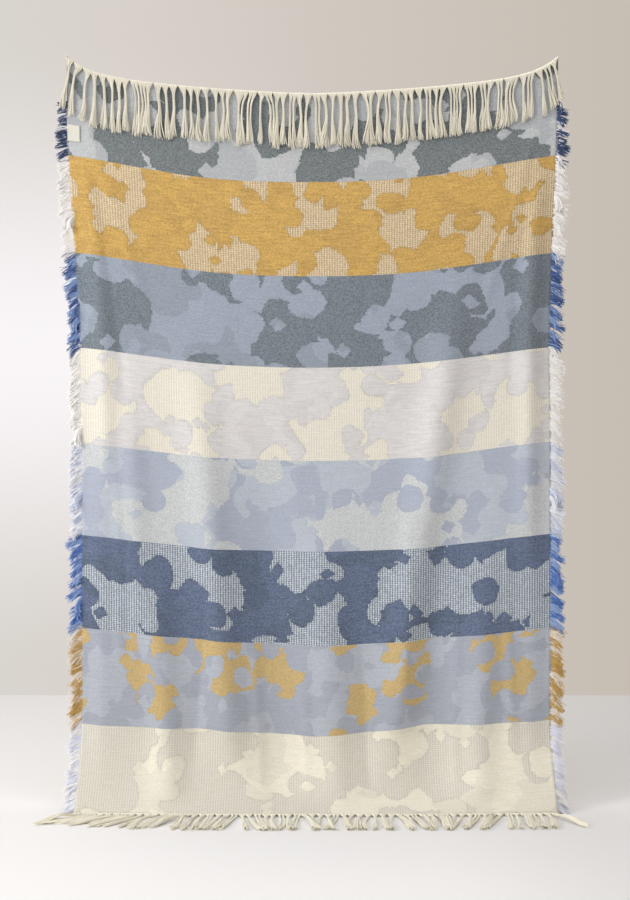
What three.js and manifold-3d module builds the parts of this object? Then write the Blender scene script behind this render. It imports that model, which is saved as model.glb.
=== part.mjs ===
// A cotton throw blanket hung by its top edge, woven in one piece with its foot just reaching the ground.
// The warp ends at the top and the foot are gathered into long fringe strands, the weft ends at both sides are
// left as a short frayed fringe, and a small blank label is sewn to the front at the upper left edge.
// Millimetres, +Z up. The front faces -Y, and the origin is the middle of the top edge.

import * as THREE from "three";
import { mergeVertices } from "three/addons/utils/BufferGeometryUtils.js";
import Module from "manifold-3d";

const { lerp, smoothstep, degToRad } = THREE.MathUtils;

// The cloth as it is woven: eight equal bands along its length.
const BAND_LENGTH = 250;
const BAND_COUNT = 8;
const CLOTH_LENGTH = BAND_LENGTH * BAND_COUNT;
const CLOTH_WIDTH = 1300;
const HALF_CLOTH = CLOTH_WIDTH / 2;
const CLOTH_THICKNESS = 2.4;
const CLOTH_COLUMNS = 36;
const CLOTH_ROWS = 34;
const ROW_CROWDING = 0.3; // how much closer the rows lie at the foot than at the top

// How it hangs: pulled up and out at both corners, drawn in by its folds lower down, and a little askew.
const CORNER_RISE = 80;
const EDGE_SHARPNESS = 1.5; // of the curve of the top edge
const CORNER_SHARPNESS = 8; // of the steeper curve into its corners
const CORNER_SHARE = 0.34; // of the rise, made by that steeper curve
const CORNER_TIP = { by: 20, sharpness: 16, reach: 200 }; // the held corners are stretched up a little more
const CORNER_REACH = 200; // below the top edge, where the rows have the softer curve of the lower cloth
const LOWER_SHARPNESS = 2.2;
const EDGE_EASING = 0.36; // how far that softer curve levels out towards the sides
const SAG_SETTLES = 1100;
const LOWER_SAG = 38; // what is left of the top edge's sag from there on
const CORNER_HALF_SPAN = 655;
const FOLD_TAKE_UP = 27;
const TAKE_UP_START = 100;
const TAKE_UP_END = 800;
const DRIFT = 10; // the lower cloth hangs this far to the right of the top
const DRIFT_START = 150;
const DRIFT_END = 1100;
const HEM_FLARE = 5;
const GROUND_Z = -1897;
const HEM_HEIGHT = 6; // the middle of the hem above the ground
const SWEEP_START = CLOTH_LENGTH - BAND_LENGTH; // the lowest band curves forward
const BOW_DEPTH = 30; // the middle hangs this far behind the sides
const BOW_START = 500;
const EDGE_CURL = 14; // the side edges turn back
const CURL_SHARE = 0.9; // of the half width, where the turn starts
const CURL_START = 150;
const CURL_FULL = 500;
const FOLD_FADE = 100; // above the hem, where the folds flatten out

// One row for each soft fold: where its crest starts and ends on the flat cloth, its reach to either side and
// its height. A negative height is a trough.
const FOLDS = [
  { topAcross: -600, topDown: 120, footAcross: -572, footDown: 1200, reach: 26, height: 9 },
  { topAcross: -520, topDown: 760, footAcross: -482, footDown: 1560, reach: 34, height: 11 },
  { topAcross: -455, topDown: 1180, footAcross: -392, footDown: 2080, reach: 42, height: 18 },
  { topAcross: -345, topDown: 620, footAcross: -228, footDown: 1930, reach: 50, height: 22 },
  { topAcross: -150, topDown: 820, footAcross: -95, footDown: 2060, reach: 66, height: -13 },
  { topAcross: 10, topDown: 1080, footAcross: 68, footDown: 2080, reach: 56, height: 19 },
  { topAcross: 430, topDown: 340, footAcross: 180, footDown: 1960, reach: 52, height: 23 },
  { topAcross: 330, topDown: 1020, footAcross: 318, footDown: 2050, reach: 54, height: -12 },
  { topAcross: 478, topDown: 1120, footAcross: 436, footDown: 2090, reach: 46, height: 18 },
  { topAcross: 602, topDown: 160, footAcross: 578, footDown: 1340, reach: 26, height: 8 },
];
const FOLD_GROWS_OVER = 0.4; // of a fold's length, from its top
const FOLD_DIES_OVER = 0.18; // of a fold's length, at its foot

// The gathered fringe at the top and the foot.
const STRAND_COUNT = 62;
const PIECE_GAP = 0.3;
const END_STRIP = { high: 5, deep: 5, forward: 2.5 };
const STRAND_SHIFT = 2; // how far a root may sit off its even place
const TOP_STRAND_LEAN = 2.5;
const CORNER_SPLAY = { by: 24, sharpness: 14 }; // the strands nearest the corners hang outwards
const TOP_STRAND_STRETCH = 0.05;

// One row for each section of a strand at the top, from its root in the strip to its loose tip. It hangs a
// little off the cloth's face.
const TOP_SECTIONS = [
  { down: -3, off: 0.8, wide: 11, deep: 2.4 },
  { down: 15, off: 2, wide: 8, deep: 6 },
  { down: 58, off: 2, wide: 7.5, deep: 7 },
  { down: 104, off: 2, wide: 8.5, deep: 7 },
  { down: 139, off: 2, wide: 14, deep: 8 },
];

// One row for each section of a strand that lies on the ground, by its way out from the hem.
const GROUND_SECTIONS = [
  { out: 0, turn: 0, wide: 10, deep: 2.4 },
  { out: 15, turn: 0.2, wide: 8, deep: 6.5 },
  { out: 55, turn: 0.8, wide: 7.5, deep: 6.5 },
  { out: 98, turn: 1.15, wide: 7.5, deep: 6.5 },
  { out: 132, turn: 1, wide: 9.5, deep: 6 },
];

// Which way the strands on the ground point along the hem, in degrees from straight ahead, right positive.
const GROUND_HEADINGS = [
  { across: -650, heading: -54 },
  { across: -540, heading: -46 },
  { across: -330, heading: -16 },
  { across: -120, heading: 10 },
  { across: 90, heading: -14 },
  { across: 300, heading: 9 },
  { across: 500, heading: -15 },
  { across: 600, heading: 8 },
  { across: 650, heading: 30 },
];

// The frayed fringe at both sides, in drooping locks.
const LOCK_COUNT = 60;
const LOCK_FIRST_DOWN = 95;
const LOCK_LAST_DOWN = 1955;
const SIDE_STRIP_WIDE = 4;
const SIDE_STRIP_FIRST_ROW = 1;
const LOCK_LENGTH_CHANGE = 0.14;

// One row for each section of a lock, from its root in the strip to its tip.
const LOCK_SECTIONS = [
  { out: 2, drop: 0, wide: 6, deep: 1.8 },
  { out: 22, drop: 7, wide: 8, deep: 5 },
  { out: 41, drop: 21, wide: 3, deep: 2.4 },
];

// The label, sewn along its left edge.
const LABEL = { wide: 33, long: 43, thick: 0.9, inset: 1, topDown: 160, lift: 0.5, steps: 3 };

const wasm = await Module();
wasm.setup();

const material = (name, color, roughness) =>
  new THREE.MeshStandardMaterial({ name, color, roughness, metalness: 0 });

const WOVEN_COTTON = material("woven_cotton", 0xa3a9b5, 0.9);
const CREAM_YARN = material("cream_yarn", 0xded9c0, 0.88);
const WEFT_YARN = material("weft_yarn", 0x8792b4, 0.9);
const LABEL_TAPE = material("label_tape", 0xecebe2, 0.8);

// A fixed, uneven number from -1 to 1 for item i of a row.
function uneven(i, row) {
  const wave = Math.sin(i * 12.9898 + row * 78.233) * 43758.5453;
  return 2 * (wave - Math.floor(wave)) - 1;
}

// The value of a table's column at a place between its rows.
function between(table, key, column, at) {
  const next = table.findIndex((row) => row[key] >= at);
  if (next === 0) return table[0][column];
  if (next < 0) return table[table.length - 1][column];
  const before = table[next - 1];
  const after = table[next];
  const share = smoothstep(at, before[key], after[key]);
  return lerp(before[column], after[column], share);
}

// How far the folds lift the cloth off its plain hang.
function foldRise(across, down) {
  const rise = FOLDS.reduce((sum, fold) => {
    const along = (down - fold.topDown) / (fold.footDown - fold.topDown);
    const swell = smoothstep(along, 0, FOLD_GROWS_OVER) * (1 - smoothstep(along, 1 - FOLD_DIES_OVER, 1));
    const off = (across - lerp(fold.topAcross, fold.footAcross, along)) / fold.reach;
    return sum + fold.height * swell * Math.exp(-off * off);
  }, 0);
  return rise * (1 - smoothstep(down, CLOTH_LENGTH - FOLD_FADE, CLOTH_LENGTH));
}

// The angle that the lowest band turns through, so that it drops by this share of its length.
function sweepAngle(dropShare) {
  let low = 0.01;
  let high = Math.PI;
  for (let i = 0; i < 40; i += 1) {
    const middle = (low + high) / 2;
    if (Math.sin(middle) / middle > dropShare) low = middle;
    else high = middle;
  }
  return low;
}

// How far a row of the cloth rises from its middle, at 0, to its ends, at 1.
function rowCurve(share, down) {
  const top = lerp(share ** EDGE_SHARPNESS, share ** CORNER_SHARPNESS, CORNER_SHARE);
  const lower = share ** LOWER_SHARPNESS * (1 + EDGE_EASING * (1 - share ** 3));
  return lerp(top, lower, smoothstep(down, 0, CORNER_REACH));
}

// Where a point of the flat cloth hangs, at the middle of its thickness.
function hung(across, down) {
  const share = Math.abs(across) / HALF_CLOTH;
  const straight = Math.min(down, SWEEP_START);
  const sag = lerp(CORNER_RISE, LOWER_SAG, smoothstep(down, 0, SAG_SETTLES));
  const tip = CORNER_TIP.by * share ** CORNER_TIP.sharpness * (1 - smoothstep(down, 0, CORNER_TIP.reach));
  const takeUp = FOLD_TAKE_UP * smoothstep(down, TAKE_UP_START, TAKE_UP_END);
  const drift = DRIFT * smoothstep(down, DRIFT_START, DRIFT_END);
  const flare = HEM_FLARE * smoothstep(down, SWEEP_START, CLOTH_LENGTH);
  const halfSpan = CORNER_HALF_SPAN - takeUp + flare;

  const bow = BOW_DEPTH * (1 - share * share) * smoothstep(down, BOW_START, SWEEP_START);
  const curlDown = smoothstep(down, CURL_START, CURL_FULL) * (1 - smoothstep(down, SWEEP_START, CLOTH_LENGTH));
  const curl = EDGE_CURL * smoothstep(share, CURL_SHARE, 1) * curlDown;

  const plain = new THREE.Vector3(
    (across / HALF_CLOTH) * halfSpan + drift,
    bow + curl,
    CORNER_RISE + tip - straight - sag * (1 - rowCurve(share, down)),
  );
  const front = new THREE.Vector3(0, -1, 0);
  if (down > SWEEP_START) {
    const full = sweepAngle((plain.z - GROUND_Z - HEM_HEIGHT) / BAND_LENGTH);
    const angle = (full * (down - SWEEP_START)) / BAND_LENGTH;
    plain.y -= (BAND_LENGTH * (1 - Math.cos(angle))) / full;
    plain.z -= (BAND_LENGTH * Math.sin(angle)) / full;
    front.set(0, -Math.cos(angle), Math.sin(angle));
  }
  return plain.addScaledVector(front, foldRise(across, down));
}

// The hung cloth's directions at a point: to the right along it, down along it, and out of its front.
function clothAxes(across, down) {
  const right = hung(across + 1, down).sub(hung(across - 1, down)).normalize();
  const below = hung(across, down + 1).sub(hung(across, down - 1)).normalize();
  const front = new THREE.Vector3().crossVectors(below, right).normalize();
  return { right, below, front };
}

// The place a distance along the cloth's own directions from one of its points.
function offCloth(across, down, { right = 0, below = 0, front = 0 }) {
  const axes = clothAxes(across, down);
  return hung(across, down)
    .addScaledVector(axes.right, right)
    .addScaledVector(axes.below, below)
    .addScaledVector(axes.front, front);
}

// A geometry with each of its points moved to the place given for it.
function shaped(geometry, place) {
  const points = geometry.getAttribute("position");
  for (let i = 0; i < points.count; i += 1) {
    const { x, y, z } = place(new THREE.Vector3().fromBufferAttribute(points, i));
    points.setXYZ(i, x, y, z);
  }
  geometry.deleteAttribute("normal");
  geometry.deleteAttribute("uv");
  return mergeVertices(geometry, 1e-3);
}

function solidOf(geometry) {
  return new wasm.Manifold(
    new wasm.Mesh({
      numProp: 3,
      vertProperties: new Float32Array(geometry.getAttribute("position").array),
      triVerts: new Uint32Array(geometry.index.array),
    }),
  );
}

// Several closed geometries fused into one.
function fused(geometries) {
  const { vertProperties, triVerts } = geometries
    .map(solidOf)
    .reduce((whole, next) => whole.add(next))
    .getMesh();
  const geometry = new THREE.BufferGeometry();
  geometry.setAttribute("position", new THREE.BufferAttribute(vertProperties, 3));
  geometry.setIndex(new THREE.BufferAttribute(triVerts, 1));
  return geometry;
}

// A strand through its sections, from root to tip. Each has a centre, its axes and its sizes across them.
function strand(unit, sections) {
  const last = sections.length - 1;
  return shaped(unit, (p) => {
    const { centre, right, front, wide, deep } = sections[Math.round((0.5 - p.y) * last)];
    return centre.clone().addScaledVector(right, p.x * wide).addScaledVector(front, p.z * deep);
  });
}

const squareUnit = (sections) => new THREE.BoxGeometry(1, 1, 1, 1, sections.length - 1, 1);
const threeSidedUnit = (sections) => new THREE.CylinderGeometry(0.5, 0.5, 1, 3, sections.length - 1);

// The distance down the cloth of a row, which may be a fraction.
function rowDown(row) {
  const share = row / CLOTH_ROWS;
  return CLOTH_LENGTH * share * (1 + ROW_CROWDING * (1 - share));
}

function clothSheet() {
  const flat = new THREE.BoxGeometry(
    CLOTH_WIDTH, CLOTH_ROWS, CLOTH_THICKNESS, CLOTH_COLUMNS, CLOTH_ROWS, 1,
  );
  return shaped(flat, (p) => offCloth(p.x, rowDown(CLOTH_ROWS / 2 - p.y), { front: p.z }));
}

// A narrow strip just past the top edge or the hem, where the warp ends leave the cloth.
function endStrip(edgeDown, outward) {
  const { high, deep, forward } = END_STRIP;
  const flat = new THREE.BoxGeometry(CLOTH_WIDTH, high, deep, CLOTH_COLUMNS, 1, 1);
  const middle = outward * (PIECE_GAP + high / 2);
  return shaped(flat, (p) => offCloth(p.x, edgeDown, { below: middle - p.y, front: p.z + forward }));
}

function rootAcross(i) {
  const pitch = CLOTH_WIDTH / STRAND_COUNT;
  return pitch * (i + 0.5) - HALF_CLOTH + STRAND_SHIFT * uneven(i, 1);
}

// How much farther a strand reaches than the cloth behind it, which slants up towards the corners.
function plumbShare(across) {
  const length = TOP_SECTIONS[TOP_SECTIONS.length - 1].down;
  return length / (hung(across, 0).z - hung(across, length).z);
}

function topStrand(i) {
  const across = rootAcross(i);
  const share = across / HALF_CLOTH;
  const splay = CORNER_SPLAY.by * Math.sign(share) * Math.abs(share) ** CORNER_SPLAY.sharpness;
  const lean = TOP_STRAND_LEAN * uneven(i, 2) + splay;
  const stretch = plumbShare(across) * (1 + TOP_STRAND_STRETCH * uneven(i, 3));
  const sections = TOP_SECTIONS.map(({ down, off, wide, deep }, step) => {
    const onCloth = Math.max(down * stretch, 0);
    const { right, front } = clothAxes(across, onCloth);
    const centre = offCloth(across, onCloth, {
      right: lean * (step / (TOP_SECTIONS.length - 1)) ** 2,
      below: Math.min(down, 0),
      front: CLOTH_THICKNESS / 2 + off + deep / 2,
    });
    return { centre, right, front, wide, deep };
  });
  return strand(squareUnit(sections), sections);
}

function groundStrand(i) {
  const across = rootAcross(i);
  const heading = degToRad(between(GROUND_HEADINGS, "across", "heading", across));
  const root = offCloth(across, CLOTH_LENGTH, {
    below: PIECE_GAP + END_STRIP.high / 2,
    front: END_STRIP.forward,
  });
  const up = new THREE.Vector3(0, 0, 1);
  let place = root;
  let reached = 0;
  const sections = GROUND_SECTIONS.map(({ out, turn, wide, deep }, step) => {
    const way = new THREE.Vector3(Math.sin(heading * turn), -Math.cos(heading * turn), 0);
    place = place.clone().addScaledVector(way, out - reached);
    reached = out;
    const centre = place.clone();
    if (step > 0) centre.z = GROUND_Z + deep / 2;
    return { centre, right: new THREE.Vector3().crossVectors(up, way), front: up, wide, deep };
  });
  return strand(squareUnit(sections), sections);
}

// The strip along a side edge, on the same rows as the cloth.
function sideStrip(side) {
  const rows = CLOTH_ROWS - SIDE_STRIP_FIRST_ROW;
  const flat = new THREE.BoxGeometry(SIDE_STRIP_WIDE, rows, CLOTH_THICKNESS, 1, rows, 1);
  const middle = side * (PIECE_GAP + SIDE_STRIP_WIDE / 2);
  return shaped(flat, (p) => {
    const down = rowDown(SIDE_STRIP_FIRST_ROW + rows / 2 - p.y);
    return offCloth(side * HALF_CLOTH, down, { right: middle + p.x, front: p.z });
  });
}

function sideLock(side, i) {
  const pitch = (LOCK_LAST_DOWN - LOCK_FIRST_DOWN) / (LOCK_COUNT - 1);
  const down = LOCK_FIRST_DOWN + pitch * i;
  const length = 1 + LOCK_LENGTH_CHANGE * uneven(i, 5 + side);
  const edge = side * HALF_CLOTH;
  const outward = clothAxes(edge, down).right.multiplyScalar(side);
  const front = new THREE.Vector3(0, -1, 0);
  const right = new THREE.Vector3().crossVectors(outward, front).negate().normalize();
  const sections = LOCK_SECTIONS.map(({ out, drop, wide, deep }) => {
    const centre = offCloth(edge, down, { right: side * (PIECE_GAP + out * length) });
    centre.z = Math.max(centre.z - drop * length, GROUND_Z + wide);
    return { centre, right, front, wide, deep };
  });
  return strand(threeSidedUnit(sections), sections);
}

function labelTape() {
  const { wide, long, thick, inset, topDown, lift, steps } = LABEL;
  const flat = new THREE.BoxGeometry(wide, long, thick, steps, steps, 1);
  const middle = inset + wide / 2 - HALF_CLOTH;
  const raised = CLOTH_THICKNESS / 2 + lift + thick / 2;
  return shaped(flat, (p) => offCloth(middle + p.x, topDown + long / 2 - p.y, { front: raised + p.z }));
}

const each = (count, make) => Array.from({ length: count }, (_, i) => make(i));

function piece(name, geometry, finish) {
  geometry.computeVertexNormals();
  const mesh = new THREE.Mesh(geometry, finish);
  mesh.name = name;
  return mesh;
}

const sideFringe = (side) => fused([sideStrip(side), ...each(LOCK_COUNT, (i) => sideLock(side, i))]);

const throwBlanket = new THREE.Group();
throwBlanket.name = "throw_blanket";
throwBlanket.add(
  piece("cloth", clothSheet(), WOVEN_COTTON),
  piece("top_fringe", fused([endStrip(0, -1), ...each(STRAND_COUNT, topStrand)]), CREAM_YARN),
  piece("foot_fringe", fused([endStrip(CLOTH_LENGTH, 1), ...each(STRAND_COUNT, groundStrand)]), CREAM_YARN),
  piece("left_fringe", sideFringe(-1), WEFT_YARN),
  piece("right_fringe", sideFringe(1), WEFT_YARN),
  piece("label", labelTape(), LABEL_TAPE),
);

export default throwBlanket;
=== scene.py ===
# %% [markdown]
# # A hung throw blanket
#
# This lesson dresses the plain solids of a cotton throw: a cloth woven in eight colour bands, long
# gathered fringe at both ends, short frayed fringe at both sides, and a small blank label. The solids
# hold the sizes, so they are loaded first, and every new piece is made in their frame, in metres, with
# the front facing -Y.

import bpy
import numpy as np
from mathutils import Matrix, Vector


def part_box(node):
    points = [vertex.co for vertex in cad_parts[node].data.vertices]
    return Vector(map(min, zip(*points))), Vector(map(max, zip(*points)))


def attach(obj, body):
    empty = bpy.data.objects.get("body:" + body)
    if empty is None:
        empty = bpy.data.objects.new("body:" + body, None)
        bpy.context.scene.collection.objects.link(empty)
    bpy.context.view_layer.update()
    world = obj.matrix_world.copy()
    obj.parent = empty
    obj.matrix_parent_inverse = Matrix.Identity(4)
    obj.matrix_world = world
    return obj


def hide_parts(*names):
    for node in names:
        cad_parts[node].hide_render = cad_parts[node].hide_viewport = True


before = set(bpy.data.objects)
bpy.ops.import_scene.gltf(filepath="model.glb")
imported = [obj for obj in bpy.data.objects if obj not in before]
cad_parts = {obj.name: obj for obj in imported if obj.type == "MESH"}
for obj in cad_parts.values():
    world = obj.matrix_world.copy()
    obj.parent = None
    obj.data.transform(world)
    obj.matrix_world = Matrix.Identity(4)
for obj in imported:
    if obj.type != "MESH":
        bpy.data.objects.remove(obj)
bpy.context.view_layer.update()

print("solids:", sorted(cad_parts))

# %% [markdown]
# ## How the cloth hangs
#
# A real throw held up by its two upper corners sags between them, folds more and more towards the foot,
# and pushes its lowest band forward where it meets the ground. A cloth simulation could find such a
# shape, but the folds would fall where they like. So the hang is a formula instead: a place on the flat
# cloth, across and down, goes in, and the place in space comes out. The folds are a short table, given
# as soft ridges and troughs.

# %% The flat cloth and its plain hang
BAND_LENGTH = 0.25
BAND_COUNT = 8
CLOTH_LENGTH = BAND_LENGTH * BAND_COUNT
CLOTH_WIDTH = 1.3
HALF_CLOTH = CLOTH_WIDTH / 2
CLOTH_THICKNESS = 0.0024

CORNER_RISE, CORNER_REACH = 0.08, 0.2
EDGE_SHARPNESS, CORNER_SHARPNESS, CORNER_SHARE = 1.5, 8, 0.34
TIP_RISE, TIP_SHARPNESS, TIP_REACH = 0.02, 16, 0.2
LOWER_SAG, LOWER_SHARPNESS, EDGE_EASING, SAG_SETTLES = 0.038, 2.2, 0.36, 1.1
CORNER_HALF_SPAN = 0.655
FOLD_TAKE_UP, TAKE_UP_START, TAKE_UP_END = 0.027, 0.1, 0.8
DRIFT, DRIFT_START, DRIFT_END = 0.010, 0.15, 1.1
HEM_FLARE, HEM_HEIGHT = 0.005, 0.006
SWEEP_START = CLOTH_LENGTH - BAND_LENGTH
SMALLEST_SWEEP, HALVINGS = 0.01, 36
BOW_DEPTH, BOW_START = 0.03, 0.5
EDGE_CURL, CURL_SHARE, CURL_START, CURL_FULL = 0.014, 0.9, 0.15, 0.5
FOLD_FADE = 0.1
GROUND_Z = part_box("foot_fringe")[0].z


def smoothstep(x, low, high):
    share = np.clip((x - low) / (high - low), 0, 1)
    return share * share * (3 - 2 * share)


def mix(a, b, share):
    return a + (b - a) * share


print(f"flat cloth {CLOTH_WIDTH} x {CLOTH_LENGTH} m, ground at {GROUND_Z:.3f} m")

# %% The folds, large and small
# Each row: where the crest starts (across, down), where it ends, its reach to either side, its height.
MAIN_FOLDS = [
    (-0.600, 0.12, -0.572, 1.20, 0.026, 0.009),
    (-0.520, 0.76, -0.482, 1.56, 0.034, 0.011),
    (-0.455, 1.18, -0.392, 2.08, 0.042, 0.018),
    (-0.345, 0.62, -0.228, 1.93, 0.050, 0.022),
    (-0.150, 0.82, -0.095, 2.06, 0.066, -0.013),
    (0.010, 1.08, 0.068, 2.08, 0.056, 0.019),
    (0.430, 0.34, 0.180, 1.96, 0.052, 0.023),
    (0.330, 1.02, 0.318, 2.05, 0.054, -0.012),
    (0.478, 1.12, 0.436, 2.09, 0.046, 0.018),
    (0.602, 0.16, 0.578, 1.34, 0.026, 0.008),
]
# Fine creases that the plain solid leaves out: drawn lines below the corners, and puckers in the lower
# bands.
FINE_CREASES = [
    (-0.630, 0.03, -0.430, 0.72, 0.014, 0.0030),
    (-0.600, 0.10, -0.520, 0.95, 0.012, -0.0025),
    (0.628, 0.03, 0.455, 0.66, 0.014, 0.0030),
    (0.596, 0.12, 0.530, 0.90, 0.012, -0.0025),
    (-0.555, 0.98, -0.540, 1.62, 0.013, 0.0040),
    (-0.300, 1.30, -0.340, 1.90, 0.016, -0.0040),
    (-0.180, 1.40, -0.150, 1.94, 0.014, 0.0040),
    (-0.040, 1.46, -0.020, 1.96, 0.015, 0.0035),
    (0.120, 1.38, 0.150, 1.95, 0.014, -0.0040),
    (0.262, 1.05, 0.240, 1.70, 0.016, 0.0040),
    (0.395, 1.35, 0.380, 1.97, 0.013, 0.0040),
    (0.520, 1.20, 0.545, 1.88, 0.014, 0.0040),
]
FOLD_GROWS_OVER, FOLD_DIES_OVER = 0.4, 0.18


def fold_rise(across, down):
    rise = np.zeros_like(across)
    for top_across, top_down, foot_across, foot_down, reach, height in MAIN_FOLDS + FINE_CREASES:
        along = (down - top_down) / (foot_down - top_down)
        swell = smoothstep(along, 0, FOLD_GROWS_OVER) * (1 - smoothstep(along, 1 - FOLD_DIES_OVER, 1))
        off = (across - mix(top_across, foot_across, along)) / reach
        rise += height * swell * np.exp(-off * off)
    return rise * (1 - smoothstep(down, CLOTH_LENGTH - FOLD_FADE, CLOTH_LENGTH))


print(f"{len(MAIN_FOLDS)} folds and {len(FINE_CREASES)} fine creases")

# %% From the flat cloth to the hung one


def sweep_angle(drop_share):
    """The angle that the lowest band turns through, so that it drops by this share of its length."""
    low, high = np.full_like(drop_share, SMALLEST_SWEEP), np.full_like(drop_share, np.pi)
    for _ in range(HALVINGS):
        middle = (low + high) / 2
        too_small = np.sin(middle) / middle > drop_share
        low, high = np.where(too_small, middle, low), np.where(too_small, high, middle)
    return low


def row_curve(share, down):
    """How far a row of the cloth rises from its middle, at 0, to its ends, at 1."""
    top = mix(share**EDGE_SHARPNESS, share**CORNER_SHARPNESS, CORNER_SHARE)
    lower = share**LOWER_SHARPNESS * (1 + EDGE_EASING * (1 - share**3))
    return mix(top, lower, smoothstep(down, 0, CORNER_REACH))


def hung(across, down):
    """The place in space of points of the flat cloth, at the middle of its thickness."""
    across, down = np.broadcast_arrays(np.asarray(across, float), np.asarray(down, float))
    share = np.abs(across) / HALF_CLOTH
    straight = np.minimum(down, SWEEP_START)
    swept = smoothstep(down, SWEEP_START, CLOTH_LENGTH)
    sag = mix(CORNER_RISE, LOWER_SAG, smoothstep(down, 0, SAG_SETTLES))
    half_span = CORNER_HALF_SPAN - FOLD_TAKE_UP * smoothstep(down, TAKE_UP_START, TAKE_UP_END)
    half_span = half_span + HEM_FLARE * swept
    x = across / HALF_CLOTH * half_span + DRIFT * smoothstep(down, DRIFT_START, DRIFT_END)
    y = BOW_DEPTH * (1 - share**2) * smoothstep(down, BOW_START, SWEEP_START)
    curl = EDGE_CURL * smoothstep(share, CURL_SHARE, 1) * smoothstep(down, CURL_START, CURL_FULL)
    y = y + curl * (1 - swept)
    tip = TIP_RISE * share**TIP_SHARPNESS * (1 - smoothstep(down, 0, TIP_REACH))
    z = CORNER_RISE + tip - straight - sag * (1 - row_curve(share, down))
    full = sweep_angle((z - GROUND_Z - HEM_HEIGHT) / BAND_LENGTH)
    angle = full * np.maximum(down - SWEEP_START, 0) / BAND_LENGTH
    rise = fold_rise(across, down)
    y = y - BAND_LENGTH * (1 - np.cos(angle)) / full - rise * np.cos(angle)
    z = z - BAND_LENGTH * np.sin(angle) / full + rise * np.sin(angle)
    return np.stack([x, y, z], axis=-1)


def unit(vectors):
    return vectors / np.linalg.norm(vectors, axis=-1, keepdims=True)


def cloth_axes(across, down, step=0.001):
    right = unit(hung(across + step, down) - hung(across - step, down))
    below = unit(hung(across, down + step) - hung(across, down - step))
    return right, below, unit(np.cross(below, right))


def off_cloth(across, down, right=0.0, below=0.0, front=0.0):
    """A place some way along the cloth's own directions from one of its points."""
    moves = [np.asarray(move, float)[..., None] for move in (right, below, front)]
    axes = cloth_axes(across, down)
    return hung(across, down) + sum(move * axis for move, axis in zip(moves, axes))


print("middle of the top edge:", hung(0, 0).round(4), "middle of the hem:", hung(0, CLOTH_LENGTH).round(4))

# %% [markdown]
# ## The camera, the ground and the light
#
# The camera stands a little over a metre above the ground and looks level, with a long lens, as for a
# catalogue picture. A level camera keeps upright edges upright, and a small downward shift of the lens
# frames the foot. The ground is one pale plane that ends behind the cloth, so that nothing blocks the
# views from the back.

# %% The camera
CAMERA_PLACE = (0.0067, -4.7, -0.735)
FOCAL_PIXELS, LONG_SIDE_PIXELS = 1762.5, 900
SENSOR_LONG_SIDE = 36
LENS_SHIFT = -0.0888

camera_data = bpy.data.cameras.new("camera")
camera_data.sensor_width = SENSOR_LONG_SIDE
camera_data.lens = FOCAL_PIXELS / LONG_SIDE_PIXELS * SENSOR_LONG_SIDE
camera_data.shift_y = LENS_SHIFT
camera = bpy.data.objects.new("camera", camera_data)
camera.location = CAMERA_PLACE
camera.rotation_euler = (np.pi / 2, 0, 0)
bpy.context.collection.objects.link(camera)
bpy.context.scene.camera = camera
bpy.context.scene.view_settings.view_transform = "Standard"
print(f"lens {camera_data.lens:.1f} mm")

# %% [markdown]
# ### Shader maths as plain expressions
#
# A pattern is arithmetic on places, and a chain of Math nodes is hard to read in a script. So one small
# class wraps a node's output and adds a Math node for each operator. Its node method makes any other
# node: settings first, then the values or links of its inputs.

# %% A wire between shader nodes


class Wire:
    def __init__(self, tree, output):
        self.tree, self.output = tree, output

    def node(self, kind, settings, inputs, output=0):
        made = self.tree.nodes.new(kind)
        for name, value in settings.items():
            if name == "stops":
                fill_ramp(made.color_ramp, value)
            else:
                setattr(made, name, value)
        for name, value in inputs.items():
            if isinstance(value, Wire):
                self.tree.links.new(value.output, made.inputs[name])
            else:
                made.inputs[name].default_value = value
        return Wire(self.tree, made.outputs[output])

    def maths(self, operation, *values):
        return self.node("ShaderNodeMath", {"operation": operation}, dict(enumerate(values)))

    def __add__(self, other):
        return self.maths("ADD", self, other)

    def __sub__(self, other):
        return self.maths("SUBTRACT", self, other)

    def __rsub__(self, other):
        return self.maths("SUBTRACT", other, self)

    def __mul__(self, other):
        return self.maths("MULTIPLY", self, other)

    def __truediv__(self, other):
        return self.maths("DIVIDE", self, other)

    def __gt__(self, other):
        return self.maths("GREATER_THAN", self, other)

    def size(self):
        return self.maths("ABSOLUTE", self)

    __radd__, __rmul__ = __add__, __mul__


def fill_ramp(ramp, stops):
    """Stops are (place, colour) pairs. A ramp starts with two, so the rest are added."""
    for _ in range(len(stops) - 2):
        ramp.elements.new(1.0)
    for element, (place, colour) in zip(ramp.elements, stops):
        element.position = place
        element.color = (*colour, 1.0)


print("a wire has:", [name for name, item in vars(Wire).items() if callable(item)])

# %% Colours, and starting a finish
YARN_SPECULAR, SHEEN_ROUGHNESS = 0.25, 0.5


def linear(red, green, blue):
    """A colour as a paint chart gives it, 0 to 255, in the linear light that shaders work in."""
    chart = np.array([red, green, blue]) / 255
    light = np.where(chart <= 0.04045, chart / 12.92, ((chart + 0.055) / 1.055) ** 2.4)
    return tuple(float(v) for v in light)


def paint(red, green, blue):
    """The same, with the alpha that a colour socket asks for."""
    return (*linear(red, green, blue), 1.0)


def new_finish(name, roughness, sheen=0.0):
    """A cloth-like material. Returns it, its shader, and a wire to start expressions from."""
    finish = bpy.data.materials.new(name)
    finish.use_nodes = True
    shader = finish.node_tree.nodes["Principled BSDF"]
    shader.inputs["Roughness"].default_value = roughness
    shader.inputs["Specular IOR Level"].default_value = YARN_SPECULAR
    shader.inputs["Sheen Weight"].default_value = sheen
    shader.inputs["Sheen Roughness"].default_value = SHEEN_ROUGHNESS
    return finish, shader, Wire(finish.node_tree, None)


def feed(shader, name, wire):
    wire.tree.links.new(wire.output, shader.inputs[name])


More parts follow.
